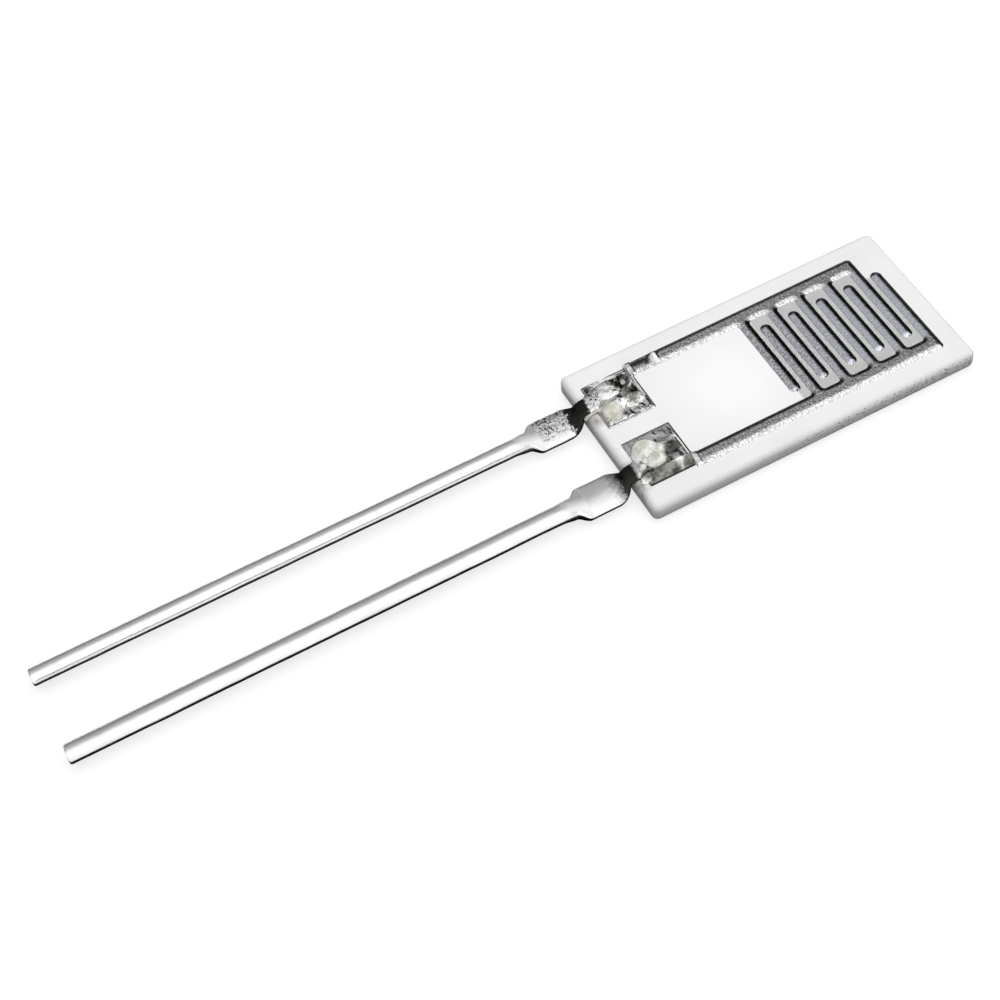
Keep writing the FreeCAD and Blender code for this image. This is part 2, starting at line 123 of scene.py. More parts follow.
# Helpers

def smooth(low, high, value):
    """0 below the low value, 1 above the high one, and a soft step between them."""
    t = min(max((value - low) / (high - low), 0.0), 1.0)
    return t * t * (3 - 2 * t)


def mix(a, b, t):
    return a + (b - a) * t


def ripple(x, y, z, scale, seed):
    """Smooth noise between about -1 and 1."""
    return noise.noise(Vector((x * scale + seed, y * scale - seed, z * scale + 0.37 * seed)))


def rough(x, y, scale, seed):
    """Noise of four octaves, for worn and uneven surfaces."""
    return noise.fractal(Vector((x * scale + seed, y * scale - seed, 0.31 * seed)), 0.9, 2.1, 4)


def add_piece(name, points, faces, material, replaced=()):
    """A mesh piece from millimetre points, smooth shaded, that rides on the element."""
    mesh = bpy.data.meshes.new(name)
    mesh.from_pydata([(x * MM, y * MM, z * MM) for x, y, z in points], [], faces)
    mesh.validate()
    mesh.polygons.foreach_set("use_smooth", [True] * len(mesh.polygons))
    mesh.materials.append(material)
    piece = bpy.data.objects.new(name, mesh)
    bpy.context.scene.collection.objects.link(piece)
    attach(piece, "root")
    if replaced:
        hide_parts(*replaced)
    return piece


# Node materials

class Shader:
    """A short way to write a node material. Positions are object coordinates in millimetres."""

    def __init__(self, name):
        self.material = bpy.data.materials.new(name)
        self.material.use_nodes = True
        self.tree = self.material.node_tree
        self.surface = self.tree.nodes["Principled BSDF"]
        coordinates = self.add("ShaderNodeTexCoord")
        scaled = self.add("ShaderNodeVectorMath", operation="SCALE")
        scaled.inputs["Scale"].default_value = 1 / MM
        self.join(coordinates.outputs["Object"], scaled.inputs[0])
        self.place = scaled.outputs[0]

    def add(self, kind, **settings):
        node = self.tree.nodes.new(kind)
        for key, value in settings.items():
            setattr(node, key, value)
        return node

    def join(self, output, socket):
        self.tree.links.new(output, socket)

    def set(self, **values):
        """Gives sockets of the surface one value each."""
        for key, value in values.items():
            self.surface.inputs[key.replace("_", " ")].default_value = value

    def vary(self, name, output):
        """Links one socket of the surface to a value that differs from place to place."""
        self.join(output, self.surface.inputs[name])

    def noise(self, scale, detail=3.0, roughness=0.55, stretch=None):
        """Noise with a scale in cycles per millimetre."""
        texture = self.add("ShaderNodeTexNoise")
        texture.inputs["Scale"].default_value = scale
        texture.inputs["Detail"].default_value = detail
        texture.inputs["Roughness"].default_value = roughness
        place = self.place
        if stretch:
            mapping = self.add("ShaderNodeMapping")
            mapping.inputs["Scale"].default_value = stretch
            self.join(place, mapping.inputs["Vector"])
            place = mapping.outputs["Vector"]
        self.join(place, texture.inputs["Vector"])
        return texture.outputs["Fac"]

    def fit(self, value, low, high, start=0.0, end=1.0):
        """Maps a value from one range to another, held at its ends."""
        ranged = self.add("ShaderNodeMapRange")
        ranged.inputs["From Min"].default_value = low
        ranged.inputs["From Max"].default_value = high
        ranged.inputs["To Min"].default_value = start
        ranged.inputs["To Max"].default_value = end
        self.join(value, ranged.inputs["Value"])
        return ranged.outputs["Result"]

    def blend(self, factor, first, second):
        """Mixes two colours or sockets by a factor socket."""
        mixed = self.add("ShaderNodeMix", data_type="RGBA")
        self.join(factor, mixed.inputs[0])
        for value, socket in ((first, mixed.inputs[6]), (second, mixed.inputs[7])):
            if isinstance(value, tuple):
                socket.default_value = (*value, 1)
            else:
                self.join(value, socket)
        return mixed.outputs[2]

    def math(self, operation, first, second=None):
        node = self.add("ShaderNodeMath", operation=operation)
        self.join(first, node.inputs[0])
        if second:
            self.join(second, node.inputs[1])
        return node.outputs[0]

    def times(self, first, second):
        return self.math("MULTIPLY", first, second)

    def inverse(self, value, least=0.0):
        """1 where the value is 0, falling to the least where it is 1."""
        return self.fit(value, 0.0, 1.0, 1.0, least)

    def largest(self, values):
        result = values[0]
        for value in values[1:]:
            result = self.math("MAXIMUM", result, value)
        return result

    def along(self, axis):
        """One coordinate of the place, in millimetres."""
        split = self.add("ShaderNodeSeparateXYZ")
        self.join(self.place, split.inputs[0])
        return split.outputs[axis]

    def facing(self, axis):
        """How far the surface faces along an axis, from -1 to 1."""
        geometry_node = self.add("ShaderNodeNewGeometry")
        split = self.add("ShaderNodeSeparateXYZ")
        self.join(geometry_node.outputs["Normal"], split.inputs[0])
        return split.outputs[axis]

    def near(self, centre, inner, outer):
        """1 within the inner distance of a point, 0 past the outer one."""
        distance = self.add("ShaderNodeVectorMath", operation="DISTANCE")
        self.join(self.place, distance.inputs[0])
        distance.inputs[1].default_value = centre
        return self.fit(distance.outputs["Value"], inner, outer, 1.0, 0.0)

    def bump(self, heights):
        """Chains bumps, each a height socket with its depth in millimetres."""
        previous = None
        for height, depth in heights:
            node = self.add("ShaderNodeBump")
            node.inputs["Distance"].default_value = depth * MM
            self.join(height, node.inputs["Height"])
            if previous:
                self.join(previous, node.inputs["Normal"])
            previous = node.outputs["Normal"]
        self.vary("Normal", previous)


def ceramic_material():
    """Fired alumina: paler in the middle from a painted highlight, with painted shade on its sides, gritty
    specks there and flux stains by the leads.
    """
    shader = Shader("fired_alumina")
    shader.set(Roughness=0.55, Specular_IOR_Level=0.3)
    cloud = shader.fit(shader.noise(0.7, 4), 0.35, 0.65)
    base = shader.blend(cloud, *ALUMINA)
    # Painted highlight: the plate is painted paler round its middle
    base = shader.blend(shader.near(HIGHLIGHT_PLACE, 0.7, 2.3), base, ALUMINA_HIGHLIGHT)
    on_side = shader.fit(shader.facing("Z"), 0.75, 0.35)
    # Painted shade: the plate's sides darken towards the bottom
    shaded_sides = shader.times(on_side, shader.fit(shader.along("Z"), 0.5, 0.0))
    base = shader.blend(shaded_sides, base, SIDE_SHADE)
    specks = shader.fit(shader.noise(16, 4, 0.7), 0.52, 0.62)
    grimy = shader.times(on_side, shader.fit(shader.along("X"), -2.5, 1.0))
    base = shader.blend(shader.times(specks, grimy), base, GRIT)
    stained = shader.largest([shader.near(spot, 0.04, 0.3) for spot in FLUX_STAINS])
    patchy = shader.times(stained, shader.fit(shader.noise(4, 4), 0.3, 0.6, 0.15, 1.0))
    shader.vary("Base Color", shader.blend(patchy, base, FLUX_STAIN))
    shader.bump([(shader.noise(14, 5, 0.7), 0.005)])
    return shader.material


def print_grain(shader):
    """The fine light and dark grain of a fired print."""
    return shader.fit(shader.noise(17, 3, 0.7), 0.4, 0.6)


def finish_print(shader, base, grain_depth):
    """Adds painted shade on the sides of a print that face +X and +Y, its roughness and its grain."""
    # Painted shade: slopes facing +X or +Y are painted near black
    shade_facing = shader.math("MAXIMUM", shader.facing("X"), shader.facing("Y"))
    shader.vary("Base Color", shader.blend(shader.fit(shade_facing, 0.06, 0.34), base, PRINT_EDGE_SHADE))
    shader.vary("Roughness", shader.fit(shader.noise(9, 3), 0.3, 0.7, 0.13, 0.25))
    shader.bump([(shader.noise(12, 3, 0.7), grain_depth)])
    return shader.material


def electrode_material():
    """Fired print: coarse silvery tracks, smoother and paler between them and away from the leads, with a
    painted highlight on the ridge's top.
    """
    shader = Shader("fired_electrode")
    grain = print_grain(shader)
    shade = shader.blend(shader.fit(shader.along("X"), -2.5, 2.0), *TRACK_SHADE)
    track = shader.blend(grain, shade, TRACK_SILVER_AND_HIGHLIGHT)
    coarse = shader.blend(grain, *COARSE_FINGER)
    fine = shader.blend(grain, *FINE_FINGER)
    finger = shader.blend(shader.fit(shader.along("X"), 0.3, 2.2), coarse, fine)
    between = shader.fit(shader.math("ABSOLUTE", shader.along("Y")), 1.55, 1.3)
    # Painted highlight: the ridge's top is painted near white and made less metallic
    ridge = shader.near(RIDGE_TOP_HIGHLIGHT, 0.1, 0.2)
    shader.vary("Metallic", shader.inverse(ridge, 0.2))
    base = shader.blend(ridge, shader.blend(between, track, finger), TRACK_SILVER_AND_HIGHLIGHT)
    return finish_print(shader, base, 0.018)


def pad_material():
    """Fired print of the pads, with a painted highlight on its tongue and a dark front edge."""
    shader = Shader("fired_pad")
    shader.set(Metallic=1.0)
    base = shader.blend(print_grain(shader), *PAD_SILVER)
    # The front pad darkens along its front edge
    darkened = shader.fit(shader.along("Y"), 0.1 - PAD_OUTER, 0.04 - PAD_OUTER)
    base = shader.blend(darkened, base, PAD_FRONT_DARK)
    # Painted highlight: the tongue over the track is painted near white
    tongue_highlight = shader.fit(shader.along("X"), TONGUE_LEFT - 0.03, TONGUE_LEFT + 0.04)
    return finish_print(shader, shader.blend(tongue_highlight, base, TONGUE_HIGHLIGHT), 0.012)


def wire_material(name, line, shade_below, burnt_colour, raggedness, softness, flecked):
    """Tinned wire with a burnt neck.

    The wire has painted shade below, where it faces less upwards than a given value, and painted light
    and shade on the pressed slopes. Dark flecks lie round each flecked place.
    """
    shader = Shader(name)
    x = shader.along("X")
    stain = shader.fit(shader.noise(1.2, 5, 0.6, (0.5, 1.5, 1.5)), 0.35, 0.7)
    base = shader.blend(stain, *TIN)
    # Painted shade: the wire's underside is painted near black
    steeper = shader.fit(x, PRESS_START, PRESS_END, 0.0, 0.59 - shade_below)
    upwards = shader.math("SUBTRACT", shader.facing("Z"), steeper)
    base = shader.blend(shader.fit(upwards, shade_below, shade_below - 0.24), base, TIN_UNDERSIDE_SHADE)
    ragged = shader.fit(shader.noise(9, 4, 0.7), 0, 1, -raggedness, raggedness)
    dark_part = shader.times(shader.fit(x, BURNT_START - softness, BURNT_START + softness),
                         shader.fit(x, BURNT_END + 0.08, BURNT_END - 0.08))
    dark_part = shader.fit(shader.math("ADD", dark_part, ragged), 0.5 - softness, 0.5 + softness)
    base = shader.blend(dark_part, base, burnt_colour)
    flecks = shader.fit(shader.noise(13, 3, 0.7), 0.53, 0.57)
    pitted = shader.largest([shader.near(spot, 0.3, 0.65) for spot in flecked])
    base = shader.blend(shader.times(flecks, pitted), base, TIN_FLECK)
    pressed = shader.times(shader.fit(x, PRESS_START - 0.6, PRESS_START - 0.1),
                           shader.fit(x, PRESS_END + 0.3, PRESS_END + 0.05))
    # Painted light and shade: the press slopes are painted white towards the front and grey towards the
    # back, and made non-metallic
    sloped = shader.times(pressed, shader.fit(shader.facing("X"), 0.0, 0.14))
    pressed_light_and_shade = shader.blend(shader.fit(shader.along("Y"), line - 0.16, line + 0.14), *PRESSED_TIN_LIGHT_AND_SHADE)
    shader.vary("Base Color", shader.blend(sloped, base, pressed_light_and_shade))
    shader.vary("Metallic", shader.inverse(sloped))
    shader.vary("Roughness", shader.fit(shader.noise(2.2, 4, 0.6, (0.6, 1.5, 1.5)), 0.3, 0.7, 0.14, 0.26))
    shader.bump([(shader.noise(2.0, 3, 0.5), 0.012), (shader.noise(12, 3, 0.6), 0.002),
                 (shader.times(pitted, shader.noise(10, 4, 0.7)), 0.03)])
    return shader.material


def solder_material(name, fleck_strength, flux_colours, highlight_spot, flux_spots, dark_spots, bead_highlights):
    """Bright solder with a painted highlight spot, glassy flux, dark patches and painted highlights on
    clear beads. A spot is (centre, inner, outer).
    """
    shader = Shader(name)
    metal = shader.blend(shader.fit(shader.noise(3.5, 4), 0.4, 0.65), *SOLDER)
    flecks = shader.fit(shader.noise(11, 4, 0.75), 0.52, 0.58, 0, fleck_strength)
    # Painted highlight: a near-white spot, with fewer flecks inside it
    highlight_mask = shader.near(*highlight_spot)
    metal = shader.blend(shader.times(flecks, shader.inverse(highlight_mask, 0.1)), metal, SOLDER_FLECK)
    metal = shader.blend(highlight_mask, metal, SOLDER_HIGHLIGHT)
    ragged = shader.fit(shader.noise(3.5, 4, 0.6), 0.0, 1.0, -0.6, 0.6)
    # Dark patches with ragged edges
    dark_part = shader.largest([shader.near(*spot) for spot in dark_spots])
    dark_part = shader.fit(shader.math("ADD", dark_part, ragged), 0.25, 0.85)
    darkened = shader.blend(shader.fit(shader.noise(4, 4, 0.6), 0.4, 0.6), *DARK_PATCH)
    metal = shader.blend(dark_part, metal, darkened)
    cloudy = shader.fit(shader.noise(3.2, 4, 0.65), 0.4, 0.6)
    coated = shader.largest([shader.near(*spot) for spot in flux_spots])
    base = shader.blend(coated, metal, shader.blend(cloudy, *flux_colours))
    # Painted highlights: the clear beads are painted near white and made non-metallic
    highlighted_beads = [shader.near(spot, 0.07, 0.13) for spot in bead_highlights]
    for bead in highlighted_beads:
        base = shader.blend(bead, base, BEAD_HIGHLIGHT)
    shader.vary("Base Color", base)
    shader.vary("Metallic", shader.inverse(shader.largest([coated] + highlighted_beads)))
    shader.vary("Roughness", shader.fit(shader.noise(5.0, 3), 0.35, 0.7, 0.07, 0.2))
    shader.set(Coat_Weight=0.6, Coat_Roughness=0.05)
    shader.bump([(shader.noise(9, 4, 0.6), 0.014)])
    return shader.material


def flux_material():
    """Pale brown flux that ran along a lead."""
    shader = Shader("flux_trail")
    cloudy = shader.fit(shader.noise(6, 4, 0.6), 0.35, 0.65)
    shader.vary("Base Color", shader.blend(cloudy, *FLUX_BROWN))
    shader.set(Roughness=0.22, Coat_Weight=0.5, Coat_Roughness=0.05)
    shader.bump([(shader.noise(8, 3), 0.01)])
    return shader.material


def film_material():
    """The nearly clear film between the fingers."""
    shader = Shader("clear_film")
    shader.set(Base_Color=(*FILM_TINT, 1), Roughness=0.3, Alpha=0.03)
    shader.bump([(shader.noise(3, 3), 0.004)])
    return shader.material


electrode = electrode_material()
pad_print = pad_material()
back_tinned = wire_material(
    "back_tinned_wire", line=LINES["back"], shade_below=0.0, burnt_colour=(0.02, 0.02, 0.018),
    raggedness=1.1, softness=0.15, flecked=[(-5.8, 1.5, 0.5), (-6.2, 1.45, 0.5), (-4.5, 1.5, 0.8)])
front_tinned = wire_material(
    "front_tinned_wire", line=LINES["front"], shade_below=0.14, burnt_colour=(0.03, 0.029, 0.026),
    raggedness=0.35, softness=0.3, flecked=[(-4.4, -1.6, 0.8)])
back_solder = solder_material(
    "back_bright_solder", fleck_strength=0.85, flux_colours=((0.46, 0.45, 0.36), (0.76, 0.75, 0.66)),
    highlight_spot=((-4.28, 1.24, 0.86), 0.12, 0.36),
    flux_spots=[((-4.41, 0.68, 0.74), 0.16, 0.36), ((-4.58, 0.88, 0.78), 0.04, 0.2)],
    dark_spots=[((-3.76, 1.42, 0.85), 0.2, 0.32), ((-3.68, 0.92, 0.82), 0.12, 0.36),
                 ((-4.62, 1.65, 0.7), 0.02, 0.3)],
    bead_highlights=[])
front_solder = solder_material(
    "front_bright_solder", fleck_strength=0.25, flux_colours=((0.52, 0.53, 0.45), (0.95, 0.96, 0.90)),
    highlight_spot=((-3.72, -1.54, 0.74), 0.0, 0.08),
    flux_spots=[((-4.3, -0.97, 0.85), 0.38, 0.5), ((-4.26, -1.3, 0.85), 0.2, 0.34),
                ((-4.78, -1.3, 0.75), 0.12, 0.3)],
    dark_spots=[((-3.7, -1.2, 0.84), 0.16, 0.32), ((-4.66, -1.6, 0.85), 0.12, 0.28),
                 ((-4.1, -1.78, 0.72), 0.25, 0.5), ((-4.5, -1.76, 0.7), 0.12, 0.35),
                 ((-3.5, -1.8, 0.7), 0.12, 0.35)],
    bead_highlights=[(-4.70, -1.09, 0.85), (-4.69, -1.37, 0.85), (-4.09, -0.94, 1.0)])
flux_brown = flux_material()
film = film_material()

plate_slots = nodes["ceramic_substrate"].data.materials
plate_slots.clear()
plate_slots.append(ceramic_material())


# Printed layers: rounded outlines, pillow edges and a fine surface relief

CORNER_SAMPLES = 7
OUTLINE_STEP = 0.08


def rounded_outline(corners, inset):
    """A closed outline of square corners, each (x, y, radius), moved in by an inset.

    Every inset gives the same number of points, so rings of several insets join up.
    """
    count = len(corners)
    starts, ends, arcs = [], [], []
    for index, (x, y, radius) in enumerate(corners):
        before = corners[index - 1]
        after = corners[(index + 1) % count]
        come = Vector((x - before[0], y - before[1])).normalized()
        leave = Vector((after[0] - x, after[1] - y)).normalized()
        left_in = Vector((-come.y, come.x))
        left_out = Vector((-leave.y, leave.x))
        convex = come.x * leave.y - come.y * leave.x > 0
        size = radius - inset if convex else radius + inset
        size = max(size, 0.004)
        tip = Vector((x, y)) + (left_in + left_out) * inset
        centre = tip + (leave - come) * size
        first = tip - come * size
        points = []
        for sample in range(CORNER_SAMPLES + 1):
            turn = math.pi / 2 * sample / CORNER_SAMPLES
            turn = turn if convex else -turn
            arm = first - centre
            points.append(centre + Vector((arm.x * math.cos(turn) - arm.y * math.sin(turn),
                                           arm.x * math.sin(turn) + arm.y * math.cos(turn))))
        arcs.append(points)
        starts.append(Vector((x, y)) - come * radius)
        ends.append(Vector((x, y)) + leave * radius)
    outline = []
    for index in range(count):
        outline += arcs[index]
        run = (starts[(index + 1) % count] - ends[index]).length
        cuts = max(int(run / OUTLINE_STEP), 1)
        start, end = arcs[index][-1], arcs[(index + 1) % count][0]
        outline += [start.lerp(end, cut / cuts) for cut in range(1, cuts)]
    return outline


def inside(outline, x, y):
    """Whether a point lies inside a closed outline."""
    hit = False
    previous = outline[-1]
    for point in outline:
        if (point.y > y) != (previous.y > y):
            cross = (previous.x - point.x) * (y - point.y) / (previous.y - point.y) + point.x
            if x < cross:
                hit = not hit
        previous = point
    return hit


def printed_layer(name, corners, profile, relief, material, replaced, step):
    """A closed printed layer. The profile lists (inset, height) from the rim to the top."""
    rings = [rounded_outline(corners, inset) for inset, _ in profile]
    points = [(point.x, point.y, PLATE_TOP) for point in rings[0]]
    full = profile[-1][1]
    size = len(points)
    faces = [tuple(reversed(range(size)))]
    for ring, (_, height) in zip(rings[1:], profile[1:]):
        base = len(points) - size
        for point in ring:
            lift = relief(point.x, point.y) * height / full
            points.append((point.x, point.y, PLATE_TOP + height + lift))
        for index in range(size):
            after = (index + 1) % size
            faces.append((base + index, base + after, base + size + after, base + size + index))
    top = rings[-1]
    guard = rounded_outline(corners, profile[-1][0] + 0.5 * step)
    low_x, high_x = min(p.x for p in top), max(p.x for p in top)
    low_y, high_y = min(p.y for p in top), max(p.y for p in top)
    seeds = []
    row = 0
    y = low_y + step / 2
    while y < high_y:
        x = low_x + step / 2 + (step / 2 if row % 2 else 0)
        while x < high_x:
            if inside(guard, x, y):
                seeds.append(Vector((x, y)))
            x += step
        y += step * 0.87
        row += 1
    loop = list(range(size))
    edges = [(index, (index + 1) % size) for index in loop]
    flat = geometry.delaunay_2d_cdt(list(top) + seeds, edges, [loop], 1, 1e-7)
    base = len(points) - size
    lookup = {}
    for index, (place, sources) in enumerate(zip(flat[0], flat[3])):
        rim = [source for source in sources if source < size]
        if rim:
            lookup[index] = base + rim[0]
        else:
            lookup[index] = len(points)
            points.append((place.x, place.y, PLATE_TOP + full + relief(place.x, place.y)))
    faces += [tuple(lookup[index] for index in face) for face in flat[2]]
    return add_piece(name, points, faces, material, replaced)


def comb_corners(side):
    """The comb's outline, drawn for the back comb and turned over for the front one."""
    first = FIRST_FINGER if side > 0 else FIRST_FINGER + PERIOD / 2
    right = first + (FINGERS - 1) * PERIOD + FINGER_HALF
    corners = [(PAD_RIGHT, BUS_INNER, 0.02)]
    for index in range(FINGERS):
        middle = first + index * PERIOD
        corners.append((middle - FINGER_HALF, BUS_INNER, 0.1))
        corners.append((middle - FINGER_HALF, -FINGER_TIP, FINGER_HALF))
        corners.append((middle + FINGER_HALF, -FINGER_TIP, FINGER_HALF))
        if index < FINGERS - 1:
            corners.append((middle + FINGER_HALF, BUS_INNER, 0.1))
    corners += [(right, BUS_OUTER, 0.13), (PAD_RIGHT, BUS_OUTER, 0.02)]
    if side < 0:
        corners = [(x, -y, radius) for x, y, radius in reversed(corners)]
    return corners


# Edge profiles, each (inset, height) from the rim to the top

PILLOW = [(0, 0), (0.003, 0.006), (0.025, 0.0185), (0.05, 0.032), (0.075, 0.0445), (0.098, 0.055),
          (0.118, 0.062), (0.136, 0.066), (0.152, 0.068)]
FILM_EDGE = [(0, 0), (0.004, 0.006), (0.02, 0.009), (0.05, 0.010)]
PAD_PILLOW = [(0, 0), (0.003, 0.008), (0.012, 0.018), (0.026, 0.026), (0.045, 0.03)]


def comb_relief(side):
    """The comb's fine unevenness, and on the back comb its ridge and the slumped track before it."""
    seed = 11.3 if side > 0 else 27.9

    def relief(x, y):
        height = 0.0016 * rough(x, y, 9, seed) + 0.003 * ripple(x, y, 0, 1.7, seed)
        if side > 0:
            ridge = smooth(RIDGE_LEFT - 0.01, RIDGE_LEFT + 0.05, x)
            ridge *= 1 - smooth(RIDGE_RIGHT - 0.03, RIDGE_RIGHT + 0.03, x)
            dip = math.exp(-((x - RIDGE_LEFT + 0.1) / 0.08) ** 2)
            height += 0.1 * ridge * smooth(BUS_INNER - 0.05, BUS_OUTER - 0.08, y) - 0.02 * dip
            height -= 0.05 * (1 - smooth(RIDGE_LEFT - 0.05, RIDGE_LEFT, x)) * smooth(1.72, 1.96, y)
        return height

    return relief


def pad_corners(side):
    """The pad's outline with its tongue over the track's end."""
    low, high = BUS_INNER + 0.02, BUS_OUTER - 0.02
    corners = [(PAD_LEFT, PAD_INNER, 0.04), (PAD_RIGHT, PAD_INNER, 0.05), (PAD_RIGHT, low, 0.03),
               (TONGUE_RIGHT, low, 0.03), (TONGUE_RIGHT, high, 0.03), (TONGUE_LEFT, high, 0.03),
               (TONGUE_LEFT, PAD_OUTER, 0.03), (PAD_LEFT, PAD_OUTER, 0.06)]
    if side < 0:
        corners = [(x, -y, radius) for x, y, radius in reversed(corners)]
    return corners


def pad_relief(side):
    """The pad's fine unevenness, and its tongue raised over the track."""
    seed = 41.7 if side > 0 else 63.1

    def relief(x, y):
        height = 0.0015 * rough(x, y, 7, seed) + 0.004 * ripple(x, y, 0, 2.3, seed)
        if abs(y) > BUS_INNER:
            low = BUS_INNER if side > 0 else -BUS_OUTER
            lapped = smooth(TONGUE_LEFT - 0.02, TONGUE_LEFT + 0.05, x)
            height += lapped * (0.04 + 0.05 * smooth(low + 0.05, low + 0.4, y))
        return height

    return relief


for side, name in ((1, "back"), (-1, "front")):
    printed_layer(f"{name}_comb_print", comb_corners(side), PILLOW, comb_relief(side),
                  electrode, [f"{name}_electrode_comb"], 0.03)
    printed_layer(f"{name}_pad_print", pad_corners(side), PAD_PILLOW, pad_relief(side),
                  pad_print, [f"{name}_solder_pad"], 0.04)

back_right = FIRST_FINGER + (FINGERS - 1) * PERIOD
film_right = back_right + PERIOD / 2
printed_layer("clear_gap_film",
              [(FIRST_FINGER, -BUS_INNER, 0.05), (film_right, -BUS_INNER, 0.05),
               (film_right, FINGER_TIP - 0.1, 0.05), (back_right, FINGER_TIP - 0.1, 0.05),
               (back_right, BUS_INNER, 0.05), (FIRST_FINGER, BUS_INNER, 0.05)],
              FILM_EDGE, lambda x, y: 0.002 * ripple(x, y, 0, 2.0, 51.0),
              film, ["sensing_film"], 0.08)


# Leads: drawn wire, pressed paddle, neck, step and tab, lofted through many sections

AROUND_WIRE = 48
TIP_ROUND = 0.06
TAB_ROUND = 0.1
NECK_HALF = 0.25
TAB_FLARE = 0.05
ROUND_POWER = 2.0
PRESSED_POWER = 3.8
PADDLE_EDGE = -0.44


def step_height(x):
    """Height and slope angle of a lead's middle line."""
    rise = TAB_TOP - FLAT_HALF - AXIS_HEIGHT
    run = STEP_STOP - STEP_START
    radius = (run ** 2 + rise ** 2) / (4 * rise)
    if x <= STEP_START:
        return AXIS_HEIGHT, 0.0
    if x >= STEP_STOP:
        return AXIS_HEIGHT + rise, 0.0
    if x < STEP_START + run / 2:
        along = x - STEP_START
        return AXIS_HEIGHT + radius - math.sqrt(radius ** 2 - along ** 2), math.asin(along / radius)
    along = STEP_STOP - x
    return AXIS_HEIGHT + rise - radius + math.sqrt(radius ** 2 - along ** 2), math.asin(along / radius)


def lead_stations():
    """Places along a lead, closer together where its shape changes."""
    places = [WIRE_TIP + TIP_ROUND * (1 - math.cos(math.pi / 2 * index / 5)) for index in range(6)]
    x = WIRE_TIP + 0.1
    while x < PRESS_START - 0.4:
        places.append(x)
        x += 0.08
    while x < TAB_TIP - TAB_ROUND:
        places.append(x)
        x += 0.022
    places += [TAB_TIP - TAB_ROUND + TAB_ROUND * math.sin(math.pi / 2 * index / 6) for index in range(7)]
    return places


def add_lead(name, wire_radius, paddle_half, slant_start, slant, seed, material):
    """A lead. Its paddle's top slants down towards the front from the slant's start across the wire."""
    line = LINES[name]
    points, faces = [], []
    stations = lead_stations()
    for x in stations:
        height, slope = step_height(x)
        press = smooth(PRESS_START - 0.45, PRESS_END + 0.12, x)
        neck = min(max((x - (LEAD_END - 0.55)) / 0.38, 0.0), 1.0)
        wide = mix(wire_radius, paddle_half, smooth(PRESS_START, PRESS_END, x))
        wide = mix(wide, NECK_HALF, neck ** 2)
        wide += TAB_FLARE * smooth(LEAD_END + 0.13, LEAD_END + 0.25, x)
        thick = mix(wire_radius, FLAT_HALF, press)
        if x < WIRE_TIP + TIP_ROUND:
            rim = TIP_ROUND - math.sqrt(max(TIP_ROUND ** 2 - (WIRE_TIP + TIP_ROUND - x) ** 2, 0))
            wide -= rim
            thick -= rim
        if x > TAB_TIP - TAB_ROUND:
            wide -= TAB_ROUND - math.sqrt(max(TAB_ROUND ** 2 - (x - TAB_TIP + TAB_ROUND) ** 2, 0))
        power = mix(ROUND_POWER, PRESSED_POWER, press)
        paddle = press * (1 - neck)
        for index in range(AROUND_WIRE):
            angle = 2 * math.pi * index / AROUND_WIRE
            c, s = math.cos(angle), math.sin(angle)
            y = wide * math.copysign(abs(c) ** (2 / power), c)
            z = thick * math.copysign(abs(s) ** (2 / power), s)
            swell = 0.008 * ripple(x * 0.6, y, z, 1.1, seed)
            swell += 0.003 * ripple(x, y * 1.5, z * 1.5, 3.0, seed + 5)
            dent = press * 0.003 * ripple(x, y, 0, 3.0, seed + 9)
            y *= 1 + swell / wire_radius
            z *= 1 + swell / wire_radius
            z *= 1 + 0.2 * paddle
            drop = press * slant * max((slant_start - y) / (slant_start - PADDLE_EDGE), 0.0) ** 1.5
            if z > 1e-6:
                z -= drop - dent
            else:
                full = thick * (1 + 0.2 * paddle)
                bottom = full * (1 + 1.6 * paddle * smooth(0.1, -0.4, y))
                z = -drop + z / full * max(bottom - drop, 0.03)
            points.append((x - math.sin(slope) * z, line + y, height + math.cos(slope) * z))
    for ring in range(len(stations) - 1):
        base = ring * AROUND_WIRE
        for index in range(AROUND_WIRE):
            after = (index + 1) % AROUND_WIRE
            faces.append((base + after, base + index,
                          base + AROUND_WIRE + index, base + AROUND_WIRE + after))
    faces.append(tuple(range(AROUND_WIRE)))
    last = (len(stations) - 1) * AROUND_WIRE
    faces.append(tuple(reversed(range(last, last + AROUND_WIRE))))
    return add_piece(f"{name}_tinned_lead", points, faces, material, [f"{name}_lead"])


add_lead("back", 0.25, 0.45, 0.36, 0.17, 3.1, back_tinned)
add_lead("front", 0.28, 0.485, 0.1, 0.14, 8.7, front_tinned)


# Solder and flux: a height field over each pad, closed below

SKIRT = 0.05
FLOW_STEP = 0.0165
FLOW_MARGIN = 0.03
FLOW_FLOOR = PLATE_TOP - 0.008


def mound(u, v, middle, radii, height, power=0.5):
    """A rounded heap. A power of 0.5 is half an ellipsoid, and higher ones fall off softer."""
    reach = ((u - middle[0]) / radii[0]) ** 2 + ((v - middle[1]) / radii[1]) ** 2
    return height * max(1 - reach, 0.0) ** power


def tab_distance(u, v, low, high):
    """How far a place on the pad lies from the soldered tab, 0 on it."""
    return math.hypot(max(u - (TAB_TIP - PAD_LEFT), 0.0), max(low - v, v - high, 0.0))


def on_pad(u, v):
    """1 on the pad, falling to 0 at its sides."""
    side = min(u, PAD_RIGHT - PAD_LEFT - u, v, PAD_OUTER - PAD_INNER - v) - FLOW_MARGIN
    return math.sqrt(max(1 - (1 - min(max(side, 0.0) / 0.12, 1.0)) ** 2, 0.0))


